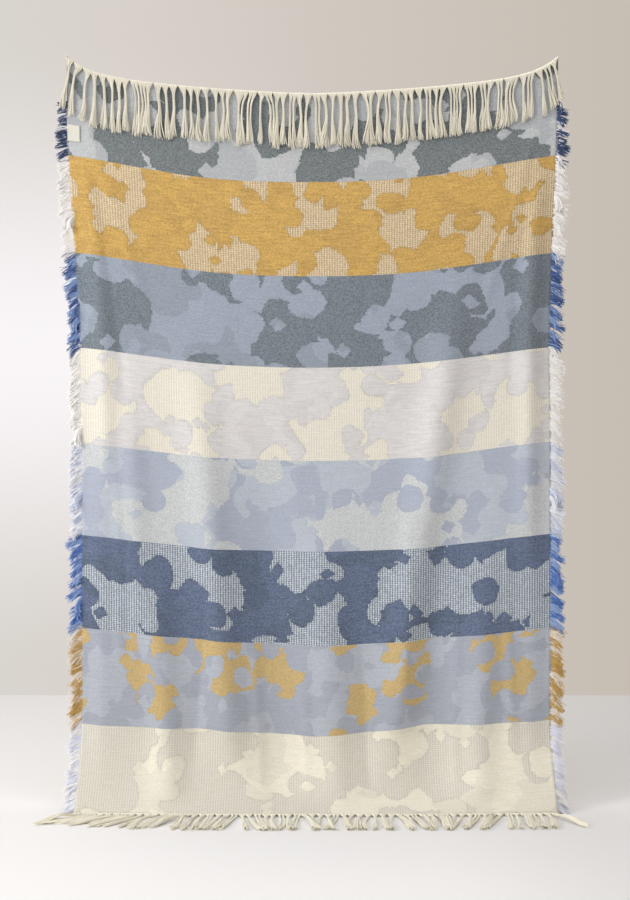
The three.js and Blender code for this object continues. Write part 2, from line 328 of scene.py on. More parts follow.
def feed_bumps(shader, height, strength, depth):
    """Fine relief on a finish, from a wire that holds its height."""
    inputs = {"Strength": strength, "Distance": depth, "Height": height}
    feed(shader, "Normal", height.node("ShaderNodeBump", {}, inputs))


print("linear cream:", [round(v, 3) for v in linear(230, 222, 197)])

# %% Steps, waves and noise for every finish


def axis_of(place, axis):
    return place.node("ShaderNodeSeparateXYZ", {}, {0: place}, output=axis)


def tint(factor, first, second):
    """A colour between two others."""
    return factor.node("ShaderNodeMix", {"data_type": "RGBA"}, {0: factor, 6: first, 7: second}, output=2)


def times(colour, factor):
    """A colour, or a place, multiplied by a value."""
    return colour.node("ShaderNodeVectorMath", {"operation": "SCALE"}, {0: colour, "Scale": factor})


def soft_step(value, low, high):
    limits = {"Value": value, "From Min": low, "From Max": high}
    return value.node("ShaderNodeMapRange", {"interpolation_type": "SMOOTHSTEP"}, limits)


def wave(value, length):
    """A smooth wave from 0 to 1 along a distance."""
    angle = value * (2 * np.pi / length)
    return angle.maths("SINE", angle) * 0.5 + 0.5


def noise(place, length, detail, output=0):
    inputs = {"Vector": place, "Scale": 1 / length, "Detail": detail, "Roughness": 0.5}
    return place.node("ShaderNodeTexNoise", {}, inputs, output=output)


print("helpers:", [helper.__name__ for helper in (axis_of, tint, times, soft_step, wave, noise)])

# %% The ground
GROUND_NEAR_EDGE, GROUND_FAR_EDGE, GROUND_HALF_WIDTH = -7.0, 1.6, 6.0
GROUND_TONES = ((245, 245, 247), (249, 249, 251))
MOTTLE_LENGTH = 0.714
# Painted shade: the ground's colour darkens towards the right, where the light from the left falls off.
GROUND_PAINTED_SHADE, PAINTED_SHADE_FROM, PAINTED_SHADE_FULL = 0.12, 0.25, 0.8 # how the ground falls off to the right

bpy.ops.object.select_all(action="DESELECT")
bpy.ops.mesh.primitive_grid_add(x_subdivisions=2, y_subdivisions=2, size=2)
ground = bpy.context.object
ground.name = "ground"
ground.scale = (GROUND_HALF_WIDTH, (GROUND_FAR_EDGE - GROUND_NEAR_EDGE) / 2, 1)
ground.location = (0, (GROUND_FAR_EDGE + GROUND_NEAR_EDGE) / 2, GROUND_Z)
bpy.ops.object.transform_apply(location=True, rotation=True, scale=True)

ground_finish, ground_shader, wire = new_finish("pale_ground", 0.75)
place = wire.node("ShaderNodeTexCoord", {}, {}, output="Object")
mottled = tint(noise(place, MOTTLE_LENGTH, 3.0), *[paint(*tone) for tone in GROUND_TONES])
# painted shade, darker towards the right
painted_shade_right = 1 - GROUND_PAINTED_SHADE * soft_step(axis_of(place, "X"), PAINTED_SHADE_FROM, PAINTED_SHADE_FULL)
feed(ground_shader, "Base Color", times(mottled, painted_shade_right))
ground.data.materials.append(ground_finish)
print("ground from", GROUND_NEAR_EDGE, "to", GROUND_FAR_EDGE)

# %% The backdrop
# The backdrop is the world itself: it falls off from left to right, and glows at the left about the
# camera's height.
BACKDROP_STOPS = [
    (0.41, linear(217, 213, 207)),
    (0.45, linear(216, 209, 202)),
    (0.50, linear(209, 201, 193)),
    (0.55, linear(203, 195, 185)),
    (0.59, linear(198, 189, 179)),
]
GLOW_TONE = paint(250, 246, 248)
GLOW_HEIGHT, GLOW_MIDDLE, GLOW_FROM, GLOW_FULL = 0.178, 0.010, 0.04, -0.15
FRONT_SHARE, FRONT_BLEND = 0.52, 0.3 # the room in front of the cloth is dimmer than the backdrop behind it

world = bpy.data.worlds.new("studio")
bpy.context.scene.world = world
world.use_nodes = True
backdrop = world.node_tree.nodes["Background"]
direction = Wire(world.node_tree, None).node("ShaderNodeTexCoord", {}, {}, output="Generated")
sideways, ahead, upward = [axis_of(direction, axis) for axis in "XYZ"]
shade = direction.node("ShaderNodeValToRGB", {"stops": BACKDROP_STOPS}, {"Fac": sideways * 0.5 + 0.5})
off_level = (upward - GLOW_MIDDLE).size()
glow = (1 - soft_step(off_level, 0.0, GLOW_HEIGHT)) * soft_step(sideways, GLOW_FROM, GLOW_FULL)
room = mix(FRONT_SHARE, 1, soft_step(ahead, -FRONT_BLEND, FRONT_BLEND))
feed(backdrop, "Color", times(tint(glow, shade, GLOW_TONE), room))
print("backdrop stops:", len(BACKDROP_STOPS))

# %% Soft light from the left and from above
# Each row: a light's name, its place, the point that it faces, its side, its watts and its colour.
LIGHTS = [
    ("window", (-4.2, -2.6, 0.5), (0, 0, -0.95), 2.2, 142, (1.0, 0.99, 0.97)),
    ("overhead", (0.1, -0.35, 1.5), (0.1, -0.35, -1.9), 2.8, 49, (0.99, 0.99, 0.99)),
    ("bounce", (3.0, -4.2, -0.4), (0, 0, -1.0), 2.6, 15, (1.0, 0.98, 0.96)),
]


def add_light(name, place, aim, size, power, colour):
    data = bpy.data.lights.new(name, "AREA")
    data.shape, data.size, data.energy, data.color = "SQUARE", size, power, colour
    light = bpy.data.objects.new(name, data)
    light.location = place
    way = Vector(aim) - Vector(place)
    light.rotation_euler = way.to_track_quat("-Z", "Y").to_euler()
    bpy.context.collection.objects.link(light)


for row in LIGHTS:
    add_light(*row)

# %% [markdown]
# ## The woven cloth
#
# On the loom this is one double cloth: two layers of yarn change places to draw the pattern, so the back
# shows it with the colours exchanged. A grid is added, each of its points is moved to where the cloth
# hangs, and Solidify gives it its thickness. The place on the flat cloth is kept as a UV map in metres,
# so that the weave follows the cloth into every fold, and an attribute tells the front from the back.

# %% Making the sheet
CLOTH_COLUMNS, CLOTH_ROWS = 150, 226


def grid_on_cloth(name, columns, rows, place):
    """A grid whose flat points, from -0.5 to 0.5 each way, are moved to where a function puts them."""
    bpy.ops.object.select_all(action="DESELECT")
    bpy.ops.mesh.primitive_grid_add(x_subdivisions=columns, y_subdivisions=rows, size=1)
    made = bpy.context.object
    made.name = name
    points = np.zeros(len(made.data.vertices) * 3)
    made.data.vertices.foreach_get("co", points)
    flat = points.reshape(-1, 3)[:, :2]
    made.data.vertices.foreach_set("co", place(flat[:, 0], flat[:, 1]).ravel())
    made.data.update()
    return made, flat


def thicken(piece, thickness):
    """Gives a sheet its thickness, half to either side, and smooth shading."""
    wall = piece.modifiers.new("thickness", "SOLIDIFY")
    wall.thickness = thickness
    wall.offset = 0
    bpy.ops.object.modifier_apply(modifier="thickness")
    piece.data.shade_smooth()


cloth, flat = grid_on_cloth(
    "woven_cloth", CLOTH_COLUMNS, CLOTH_ROWS,
    lambda x, y: hung(x * CLOTH_WIDTH, (0.5 - y) * CLOTH_LENGTH),
)
on_cloth = np.stack([flat[:, 0] * CLOTH_WIDTH, (0.5 - flat[:, 1]) * CLOTH_LENGTH], axis=1)
thicken(cloth, CLOTH_THICKNESS)
print("cloth:", len(cloth.data.vertices), "points,", len(cloth.data.polygons), "faces")

# %% [markdown]
# ### How the woven rows slip
#
# A hung cloth gives a little along its threads, so its bands lie some millimetres off an even spacing.
# Moving the mesh would change the cloth's outline, so only the place that the weave is looked up at
# slips.

# %% The slip of each row
# Each row of the table is the foot of a band, from the top edge down, with its slip downwards at five
# places across.
SLIP_ACROSS = (-0.60, -0.30, 0.0, 0.30, 0.60)
ROW_SLIPS = np.array([
    (0.0, 0.0, 0.0, 0.0, 0.0),
    (-0.008, -0.006, -0.012, -0.009, -0.008),
    (0.001, 0.005, 0.003, 0.005, 0.002),
    (0.005, 0.011, 0.011, 0.009, 0.004),
    (0.011, 0.018, 0.019, 0.018, 0.006),
    (0.006, 0.013, 0.013, 0.011, 0.003),
    (0.004, 0.008, 0.017, 0.007, 0.004),
    (0.010, -0.003, 0.009, -0.013, 0.000),
    (0.0, 0.0, 0.0, 0.0, 0.0),
])


def row_slip(across, down):
    by_row = np.stack([np.interp(across, SLIP_ACROSS, row) for row in ROW_SLIPS])
    band = np.minimum((down / BAND_LENGTH).astype(int), BAND_COUNT - 1)
    point = np.arange(len(down))
    return mix(by_row[band, point], by_row[band + 1, point], smoothstep(down / BAND_LENGTH - band, 0, 1))


woven = on_cloth.copy()
woven[:, 1] -= row_slip(on_cloth[:, 0], on_cloth[:, 1])
print(f"rows slip by up to {1000 * np.abs(ROW_SLIPS).max():.0f} mm")

# %% Telling the front from the back
count = len(flat)
points = np.zeros(len(cloth.data.vertices) * 3)
cloth.data.vertices.foreach_get("co", points)
points = points.reshape(-1, 3)
middle = hung(on_cloth[:, 0], on_cloth[:, 1])
front_way = cloth_axes(on_cloth[:, 0], on_cloth[:, 1])[2]
first_is_front = np.mean(np.sum((points[:count] - middle) * front_way, axis=1)) > 0
is_front = np.where(np.arange(len(points)) < count, float(first_is_front), float(not first_is_front))
cloth.data.attributes.new("front", "FLOAT", "POINT").data.foreach_set("value", is_front)
print("the first layer of points is the", "front" if first_is_front else "back")

# %% The map of the weave, and one for flat pictures of it
MAP_MARGIN = 0.01


def per_corner(mesh, point_values):
    """Values kept for each point, spread to the corners of the faces that use it."""
    index = np.zeros(len(mesh.loops), int)
    mesh.loops.foreach_get("vertex_index", index)
    return point_values[index]


def write_map(mesh, name, corner_values):
    layer = mesh.uv_layers.new(name=name)
    layer.uv.foreach_set("vector", np.asarray(corner_values, np.float32).ravel())


write_map(cloth.data, "Weave", per_corner(cloth.data, np.concatenate([woven, woven])))
doubled = np.concatenate([on_cloth, on_cloth])
halves = np.stack([doubled[:, 0] / CLOTH_WIDTH + 0.5, 1 - doubled[:, 1] / CLOTH_LENGTH], axis=1)
halves = halves * (1 - 2 * MAP_MARGIN) + MAP_MARGIN
halves[:, 0] = halves[:, 0] * 0.5 + 0.5 * (1 - is_front)
write_map(cloth.data, "OFBake", per_corner(cloth.data, halves))
cloth.data.uv_layers["Weave"].active_render = True
print("maps:", [layer.name for layer in cloth.data.uv_layers])

# %% [markdown]
# ### The weave's colours
#
# Eight bands change the yarn colours, and in each band torn patches bring the second layer to the face.
# The patches here grow from scattered points, as round lobes with bites taken out, so their shapes and
# places are left to chance. Their outlines step from thread to thread, because the place is rounded to
# the weave's cell before the points are looked up. Some bands' patches are an open mesh, and the grounds
# have fine ribs and a heathered, uneven dye.

# %% One row for each band, from the top
# Tones are as a paint chart gives them. Mesh, ribs, heather and cover go from 0 to 1, and size is in
# metres.
BAND_COLUMNS = ("ground", "patch", "dot", "second", "mesh", "ribs", "heather", "cover", "size")
BAND_ROWS = [
    ((190, 193, 196), (119, 126, 129), (119, 126, 129), (174, 179, 184), 0.0, 0.2, 0.8, 0.36, 0.17),
    ((204, 167, 97), (220, 204, 174), (186, 158, 114), (196, 160, 95), 1.0, 1.0, 0.4, 0.35, 0.14),
    ((160, 170, 186), (122, 132, 141), (122, 132, 141), (148, 158, 171), 0.0, 0.3, 0.7, 0.41, 0.18),
    ((222, 220, 220), (240, 236, 223), (215, 211, 201), (216, 214, 214), 0.7, 0.5, 0.0, 0.40, 0.13),
    ((176, 184, 201), (204, 208, 211), (204, 208, 211), (192, 200, 211), 0.0, 0.3, 0.25, 0.44, 0.17),
    ((104, 117, 143), (198, 207, 216), (101, 113, 132), (97, 110, 131), 1.0, 1.0, 0.7, 0.40, 0.17),
    ((172, 178, 191), (204, 179, 128), (204, 179, 128), (187, 193, 204), 0.0, 0.4, 0.25, 0.27, 0.12),
    ((243, 239, 223), (233, 229, 217), (204, 201, 193), (233, 229, 215), 0.8, 0.2, 0.0, 0.55, 0.16),
]
BANDS = [dict(zip(BAND_COLUMNS, row)) for row in BAND_ROWS]
SMALLEST_PATCH = min(band["size"] for band in BANDS)
print(len(BANDS), "bands, patches from", SMALLEST_PATCH, "m")

# %% Reading the band
weave, weave_shader, wire = new_finish("woven_cotton", 0.9, sheen=0.12)
flat_place = wire.node("ShaderNodeUVMap", {"uv_map": "Weave"}, {})
across, down = axis_of(flat_place, "X"), axis_of(flat_place, "Y")
bands_down = down / BAND_LENGTH
band = bands_down.maths("MINIMUM", bands_down.maths("FLOOR", bands_down), BAND_COUNT - 1)
ramp_place = (band + 0.5) / BAND_COUNT


def by_band(value):
    """A wire that holds one colour for each band."""
    stops = [(i / BAND_COUNT, value(row)) for i, row in enumerate(BANDS)]
    made = ramp_place.node("ShaderNodeValToRGB", {"stops": stops}, {"Fac": ramp_place})
    made.output.node.color_ramp.interpolation = "CONSTANT"
    return made


def parts_of(colour, count):
    """The first numbers of a colour, each on a wire of its own."""
    return [colour.node("ShaderNodeSeparateColor", {}, {0: colour}, output=i) for i in range(count)]


def lobe_share(cover):
    """The radius of scattered discs, as a share of their spacing, that covers this share of the cloth."""
    return float(np.sqrt(-np.log(1 - cover) / np.pi))


ground_tone, patch_tone, dot_tone, second_tone = [
    by_band(lambda row: linear(*row[column])) for column in ("ground", "patch", "dot", "second")
]
woven_as = by_band(lambda row: (row["mesh"], row["ribs"], lobe_share(row["cover"])))
mesh_share, rib_share, cover = parts_of(woven_as, 3)
finer, heather = parts_of(by_band(lambda row: (SMALLEST_PATCH / row["size"], row["heather"], 0.0)), 2)
print("tones:", [tone.output.node.name for tone in (ground_tone, patch_tone, dot_tone, second_tone)])

# %% Scattered spots, and places moved about
CELL_ACROSS, CELL_DOWN = 0.0040, 0.0034


def stepped(cell_across, cell_down, shift=0.0):
    """The place on the flat cloth, rounded to the middle of a cell and slid across by a shift."""
    def rounded(value, cell):
        return (value.maths("FLOOR", value / cell) + 0.5) * cell

    places = {"X": rounded(across, cell_across) + shift, "Y": rounded(down, cell_down)}
    return across.node("ShaderNodeCombineXYZ", {}, places)


def spots(place, length, distance="EUCLIDEAN"):
    """How far the nearest of many scattered points lies, in their spacing, and where that point is."""
    settings = {"voronoi_dimensions": "2D", "distance": distance}
    nearest = place.node("ShaderNodeTexVoronoi", settings, {"Vector": place, "Scale": 1 / length})
    return nearest, Wire(nearest.tree, nearest.output.node.outputs["Position"])


def vector_sum(first, second):
    return first.node("ShaderNodeVectorMath", {"operation": "ADD"}, {0: first, 1: second})


def moved(place, by, amount):
    """A place pushed about by a noise's colour."""
    centred = place.node("ShaderNodeVectorMath", {"operation": "SUBTRACT"}, {0: by, 1: (0.5, 0.5, 0.5)})
    return vector_sum(place, times(centred, amount))


print("a cell of the weave is", CELL_ACROSS * 1000, "by", CELL_DOWN * 1000, "mm")

# %% The patches
WARP_LENGTH, WARP_BY = 0.15, 0.07
RAGGED_LENGTH, RAGGED_BY = 0.020, 0.012
BAND_APART = 6.1 # how far apart the bands' patches lie in the noise
LOBE, BUD, BITE, NOTCH = 1.20, 0.52, 0.58, 0.34 # spacings, as shares of a patch's size
BUD_REACH, BITE_REACH, NOTCH_REACH, SECOND_REACH = 0.46, 0.40, 0.36, 0.40
BUD_SHIFT, BITE_SHIFT = (1.3, 2.1, 0.0), (4.7, 0.9, 0.0)
NOTCH_SHIFT, SECOND_SHIFT = (2.9, 5.3, 0.0), (9.1, 6.4, 0.0)
RIM_SHARE = 0.6 # buds and bites start within this share of their reach from a rim
FAR = 9.0


def patches(place, lobe_reach):
    """Above 0 inside a patch: round lobes, with buds and bites whose middles lie near a lobe's rim."""
    def lobes_at(spot):
        return (lobe_reach - spots(spot, SMALLEST_PATCH * LOBE)[0]) * LOBE

    def at_rim(shift, spacing, reach, distance="EUCLIDEAN"):
        away, middle = spots(vector_sum(place, shift), SMALLEST_PATCH * spacing, distance)
        off_rim = lobes_at(vector_sum(middle, tuple(-v for v in shift))).size()
        return (reach - away) * spacing - (off_rim > reach * spacing * RIM_SHARE) * FAR

    lobes = lobes_at(place)
    buds = at_rim(BUD_SHIFT, BUD, BUD_REACH)
    bites = at_rim(BITE_SHIFT, BITE, BITE_REACH)
    notches = at_rim(NOTCH_SHIFT, NOTCH, NOTCH_REACH, "MANHATTAN")
    joined = lobes.maths("MAXIMUM", lobes, buds)
    taken = bites.maths("MAXIMUM", bites, notches)
    return joined.maths("MINIMUM", joined, 0 - taken) * SMALLEST_PATCH


cell = stepped(CELL_ACROSS, CELL_DOWN, shift=band * BAND_APART)
bent = moved(cell, noise(cell, WARP_LENGTH, 1.0, output="Color"), WARP_BY)
bent = moved(bent, noise(cell, RAGGED_LENGTH, 1.0, output="Color"), RAGGED_BY)
sized = times(bent, finer)
field = patches(sized, cover)
second_field = patches(vector_sum(sized, SECOND_SHIFT), SECOND_REACH)
print("patch field:", field.output.node.name)

# %% The woven pattern
# The edge shade width is how far the painted shade reaches from a patch's outline.
EDGE_SHADE_WIDTH, PUFF_REACH, PUFF_LEAST = 0.004, 0.014, 0.35
MESH_ACROSS, MESH_DOWN = 0.0070, 0.0050
DOT_ACROSS, DOT_DOWN = (0.22, 0.62), (0.08, 0.42) # where on the mesh's waves a dot starts and is full
STREAK_LENGTH, STREAKS_THINNER = 0.050, 10.0
DYE_LENGTH = 0.35
FLECK_ACROSS, FLECK_DOWN = 0.0026, 0.0020

is_patch = field > 0.0
front = wire.node("ShaderNodeAttribute", {"attribute_name": "front"}, {}, output="Fac")
shows = is_patch * front + (1 - is_patch) * (1 - front)
# Painted shade: a thin darker line along each patch outline, for the shadow at the rim of the raised
# weave.
painted_edge_shade = 1 - soft_step(field.size(), 0.0, EDGE_SHADE_WIDTH)
puffed = (1 - soft_step(field, -PUFF_REACH, 0.0)) * mix(PUFF_LEAST, 1, mesh_share)
is_second = (second_field > 0.0) * (1 - shows)

fleck_place = stepped(FLECK_ACROSS, FLECK_DOWN)
speckle = wire.node("ShaderNodeTexWhiteNoise", {"noise_dimensions": "2D"}, {"Vector": fleck_place})
thinner = {"Vector": flat_place, "Scale": (1.0, STREAKS_THINNER, 1.0)}
streaks = noise(wire.node("ShaderNodeMapping", {}, thinner), STREAK_LENGTH, 3.0)
dye_drift = noise(flat_place, DYE_LENGTH, 2.0)
dots = soft_step(wave(across, MESH_ACROSS), *DOT_ACROSS) * soft_step(wave(down, MESH_DOWN), *DOT_DOWN)
print("mesh of", MESH_ACROSS * 1000, "by", MESH_DOWN * 1000, "mm")

# %% Putting the colours together
SECOND_STRENGTH, LEAST_FLECKED = 0.8, 0.25
SPECKLE_TONE, FLECK_TONE = 0.12, 0.7
STREAK_TONE, RIB_TONE = 0.12, 0.5
# The edge shade tones darken the patch outlines as painted shade, more in the mesh bands.
DYE_TONE, EDGE_SHADE_TONE, MESH_EDGE_SHADE_TONE = 0.06, 0.03, 0.10
WEAVE_ROUGHNESS = (0.86, 0.96)

mesh_dots = mesh_share * dots
ribs = rib_share * (1 - shows)
ground_mixed = tint(is_second * SECOND_STRENGTH, ground_tone, second_tone)
yarn = tint(shows, ground_mixed, tint(mesh_dots, patch_tone, dot_tone))
flecked = heather * mix(LEAST_FLECKED, 1, shows.maths("MAXIMUM", shows, mesh_share))
tone = 1 + (speckle - 0.5) * (SPECKLE_TONE + flecked * FLECK_TONE)
tone = tone + (streaks - 0.5) * (STREAK_TONE + ribs * RIB_TONE)
# The last term darkens the patch outlines as painted shade.
tone = tone + (dye_drift - 0.5) * DYE_TONE - painted_edge_shade * (EDGE_SHADE_TONE + mesh_share * MESH_EDGE_SHADE_TONE)
feed(weave_shader, "Base Color", times(yarn, tone))
feed(weave_shader, "Roughness", mix(*WEAVE_ROUGHNESS, speckle))
print("weave nodes:", len(weave.node_tree.nodes))

# %% The weave's relief
THREAD_ACROSS, THREAD_DOWN = 0.0019, 0.0016
THREAD_RISE, RIB_RISE, DOT_SINK, PUFF_RISE, SPECKLE_RISE = 0.25, 1.2, 0.7, 1.6, 0.3

height = wave(across, THREAD_ACROSS) * wave(down, THREAD_DOWN) * THREAD_RISE
height = height + streaks * ribs * RIB_RISE - shows * mesh_dots * DOT_SINK
height = height + puffed * PUFF_RISE + speckle * SPECKLE_RISE
feed_bumps(weave_shader, height, strength=0.8, depth=0.0007)
cloth.data.materials.append(weave)
print("cloth finish:", [slot.name for slot in cloth.data.materials])

# %% [markdown]
# ## Yarns
#
# Fringe is many yarns, and each yarn is a thin tube along a path. Curves with a bevel could make them,
# but a thousand curve objects are slow, so all the paths of one fringe are rows of an array, and one
# function skins them into a single joined mesh. The tubes have three flat sides: smooth shading would
# bend the light round so coarse a tube and darken it. Each yarn keeps a shade of its own and a map that
# runs around and along it.

# %% Skinning many paths at once
YARN_SIDES = 3
OFF_AXIS = np.array([0.31, -0.83, 0.46]) # a direction that no yarn runs along, to start its rings from


def yarn_mesh(name, paths, radii, shades, columns):
    """A joined mesh of closed tubes. Paths are yarns by steps by xyz, and radii are yarns by steps."""
    yarns, steps = radii.shape
    ahead = unit(np.gradient(paths, axis=1))
    aside = unit(np.cross(ahead, OFF_AXIS))
    upward = np.cross(ahead, aside)
    turn = np.arange(YARN_SIDES) * 2 * np.pi / YARN_SIDES
    ring = np.cos(turn)[:, None] * aside[:, :, None, :] + np.sin(turn)[:, None] * upward[:, :, None, :]
    points = paths[:, :, None, :] + radii[:, :, None, None] * ring

    number = np.arange(yarns * steps * YARN_SIDES).reshape(yarns, steps, YARN_SIDES)
    after = np.roll(number, -1, axis=2)
    skin = np.stack([number[:, :-1], number[:, 1:], after[:, 1:], after[:, :-1]], axis=-1).reshape(-1, 4)
    ends = np.concatenate([number[:, 0, :], number[:, -1, ::-1]])
    mesh = bpy.data.meshes.new(name)
    mesh.from_pydata(points.reshape(-1, 3), [], skin.tolist() + ends.tolist())
    made = bpy.data.objects.new(name, mesh)
    bpy.context.collection.objects.link(made)
    write_yarn_maps(mesh, paths, columns)
    # The shade holds a yarn's own tone, and on the cream fringes also painted shade and light.
    spread = np.repeat(shades, steps * YARN_SIDES)
    mesh.attributes.new("shade", "FLOAT", "POINT").data.foreach_set("value", spread)
    return made


print("yarns have", YARN_SIDES, "sides")

# %% The yarns' maps
CELL_MARGIN, END_MARGIN, END_SIZE = 0.05, 0.06, 0.02 # shares of a yarn's cell in the flat map


def write_yarn_maps(mesh, paths, columns):
    """One map in turns and metres for the twist, and one with a cell for each yarn, for flat pictures."""
    yarns, steps = paths.shape[:2]
    side = np.arange(YARN_SIDES)
    around = np.stack([side, side, side + 1, side + 1], axis=-1) / YARN_SIDES
    around = np.broadcast_to(around, (yarns, steps - 1, YARN_SIDES, 4))
    lengths = np.linalg.norm(np.diff(paths, axis=1), axis=-1)
    reach = np.concatenate([np.zeros((yarns, 1)), np.cumsum(lengths, axis=1)], axis=1)
    low, high = reach[:, :-1, None], reach[:, 1:, None]
    along = np.broadcast_to(np.stack([low, high, high, low], axis=-1), around.shape)
    end_corners = np.zeros((2 * yarns * YARN_SIDES, 2))
    twist = np.stack([around, along], axis=-1).reshape(-1, 2)
    write_map(mesh, "Yarn", np.concatenate([twist, end_corners]))

    rows = int(np.ceil(yarns / columns))
    cell_x, cell_y = np.arange(yarns) % columns, np.arange(yarns) // columns
    inner = 1 - 2 * CELL_MARGIN
    share = along / reach[:, -1].max()
    u = (cell_x[:, None, None, None] + CELL_MARGIN + inner * around) / columns
    v = (cell_y[:, None, None, None] + CELL_MARGIN + inner * share) / rows
    ends_u = np.repeat(np.concatenate([cell_x, cell_x]) + 0.5, YARN_SIDES) / columns
    ends_v = np.repeat(np.concatenate([cell_y + END_MARGIN, cell_y + 1 - END_MARGIN]), YARN_SIDES) / rows
    corner = np.tile(np.array([[0, 0], [1, 0], [0, 1]]) * END_SIZE, (2 * yarns, 1)) / [columns, rows]
    skin_cells = np.stack([u, v], axis=-1).reshape(-1, 2)
    end_cells = np.stack([ends_u, ends_v], axis=-1) + corner
    write_map(mesh, "OFBake", np.concatenate([skin_cells, end_cells]))
    mesh.uv_layers["Yarn"].active_render = True


print("a yarn's cell keeps a margin of", CELL_MARGIN)

# %% [markdown]
# ## The gathered fringe at the top
#
# The warp ends leave the top edge side by side, fall forward over it and are gathered in bunches. Each
# bunch is tight for half of its length, then opens like a brush to a blunt end. So a yarn's path starts
# in its own place along the edge, goes over the edge, runs into its bunch, winds round it a little, and
# spreads again towards the end.

# %% The bunches
STRAND_COUNT, YARNS_A_STRAND = 62, 24
STRAND_PITCH = CLOTH_WIDTH / STRAND_COUNT
STRAND_SHIFT = 0.002
YARN_TOTAL = STRAND_COUNT * YARNS_A_STRAND
BY_STRAND, BY_YARN = (STRAND_COUNT, 1, 1), (STRAND_COUNT, YARNS_A_STRAND, 1)
ROOT_ROW, LEAN_ROW, LENGTH_ROW, BOW_ROW, ARCH_ROW, NECK_ROW, WAVE_ROW = 1, 2, 3, 7, 9, 11, 13
ITEM_SWING, ROW_SWING, SWING_SPREAD = 12.9898, 78.233, 43758.5453
rng = np.random.default_rng(11)


def uneven(i, row):
    """A fixed, uneven number from -1 to 1 for item i of a row, the same as in the solids."""
    swing = np.sin(i * ITEM_SWING + row * ROW_SWING) * SWING_SPREAD
    return 2 * (swing - np.floor(swing)) - 1


strand = np.arange(STRAND_COUNT)
root_across = STRAND_PITCH * (strand + 0.5) - HALF_CLOTH + STRAND_SHIFT * uneven(strand, ROOT_ROW)
print(f"{STRAND_COUNT} strands of {YARNS_A_STRAND} yarns, {STRAND_PITCH * 1000:.1f} mm apart")

# %% A bunch's own shape, about its middle line
GATHER_LENGTH, GATHER_UNEVEN, GATHER_EASE = 0.034, 0.25, 1.8
BUNCH_UNEVEN = 0.34
PARTED_SHARE, PARTED_BY, PARTED_THINNER = 0.28, 0.0042, 0.72 # some bunches part into two thinner ones
TWIST_LENGTH = 0.20
OPENING_SHARPNESS, OPENING_UNEVEN = 1.35, 0.25
STRAY_ASIDE, STRAY_OUT, YARN_WAVER, WAVER_LENGTH = 0.0022, 0.0016, 0.0012, 0.016
YARN_RADIUS, FLUFF, TIP_THINNER = 0.00112, 0.20, 0.6
GOLDEN_SHARE = 0.382


def bunch(distance, length, radius, gather_from, opens_from, opens_by, flattened):
    """Yarns' offsets sideways and outwards from a bunch's middle line, and the yarns' radii."""
    yarn = np.arange(YARNS_A_STRAND)[None, :, None]
    place_in_row = rng.permutation(YARNS_A_STRAND)[None, :, None]
    flat_row = ((place_in_row + 0.5) / YARNS_A_STRAND - 0.5) * STRAND_PITCH
    gather_length = GATHER_LENGTH * (1 + GATHER_UNEVEN * rng.uniform(-1, 1, BY_STRAND))
    gathered = 1 - (1 - np.clip((distance - gather_from) / gather_length, 0, 1)) ** GATHER_EASE
    turns = distance / TWIST_LENGTH * rng.uniform(-1, 1, BY_STRAND) + yarn * GOLDEN_SHARE
    thick = 1 + BUNCH_UNEVEN * rng.uniform(-1, 1, BY_STRAND)
    parted = rng.uniform(0, 1, BY_STRAND) < PARTED_SHARE
    leg = np.sign(flat_row) * PARTED_BY * parted
    reach = radius * np.sqrt((yarn + 0.5) / YARNS_A_STRAND) * np.where(parted, PARTED_THINNER, thick)
    opened = np.clip((distance - opens_from) / (length - opens_from), 0, 1) ** OPENING_SHARPNESS
    opened = opened * rng.uniform(1 - OPENING_UNEVEN, 1 + OPENING_UNEVEN, BY_STRAND)
    sideways = mix(flat_row, leg + reach * np.cos(2 * np.pi * turns) * (1 + opens_by * opened), gathered)
    outward = gathered * reach * np.sin(2 * np.pi * turns) * (1 + opens_by * flattened * opened)
    waver = np.sin(distance / WAVER_LENGTH + rng.uniform(0, 2 * np.pi, BY_YARN))
    sideways = sideways + opened * (rng.uniform(-1, 1, BY_YARN) * STRAY_ASIDE + waver * YARN_WAVER)
    outward = outward + opened * rng.uniform(-1, 1, BY_YARN) * STRAY_OUT
    radii = YARN_RADIUS * (1 + FLUFF * np.minimum(opened, 1)) * np.ones_like(sideways)
    radii[:, :, -1] *= TIP_THINNER
    return sideways, outward, radii


print(f"yarns are {2000 * YARN_RADIUS:.1f} mm thick")

# %% How a bunch goes over the top edge and hangs
TOP_LENGTH, TOP_UNEVEN, TOP_YARN_LENGTHS = 0.154, 0.045, (0.95, 1.03)
OVER_EDGE = np.array([0.0, 0.004, 0.008, 0.012, 0.016])
OVER_FRONT = np.array([0.0, 0.0006, 0.0034, 0.0056, 0.0068])
OVER_HEIGHT = np.array([-0.002, 0.0012, 0.0024, 0.0008, -0.0024])
NECK_FROM, NECK_END, NECK_STEPS = 0.021, 0.050, 5
BRUSH_FROM, BRUSH_STEPS = 0.062, 8
SHORTER_FROM, SHORTER_FULL, SHORTER_BY = 0.22, 0.62, 0.14 # strands get shorter towards the right

neck = np.linspace(NECK_FROM, NECK_END, NECK_STEPS)
brush = np.linspace(BRUSH_FROM, TOP_LENGTH, BRUSH_STEPS)
steps_along = np.concatenate([OVER_EDGE, neck, brush])
hang_front = np.interp(steps_along, OVER_EDGE, OVER_FRONT)
hang_height = np.interp(steps_along, OVER_EDGE, OVER_HEIGHT)
hang_height[len(OVER_EDGE):] -= steps_along[len(OVER_EDGE):] - OVER_EDGE[-1]
stretch = (1 + TOP_UNEVEN * uneven(strand, LENGTH_ROW))[:, None, None]
stretch = stretch * rng.uniform(*TOP_YARN_LENGTHS, BY_YARN)
cloth_drop = hung(root_across, 0.0)[:, 2] - hung(root_across, TOP_LENGTH)[:, 2]
shorter = 1 - SHORTER_BY * smoothstep(root_across, SHORTER_FROM, SHORTER_FULL)
stretch = stretch * (shorter * TOP_LENGTH / cloth_drop)[:, None, None]
below_edge = np.maximum(-hang_height, 0) * stretch
print(f"strands are {stretch.mean() * TOP_LENGTH * 1000:.0f} mm long on average")

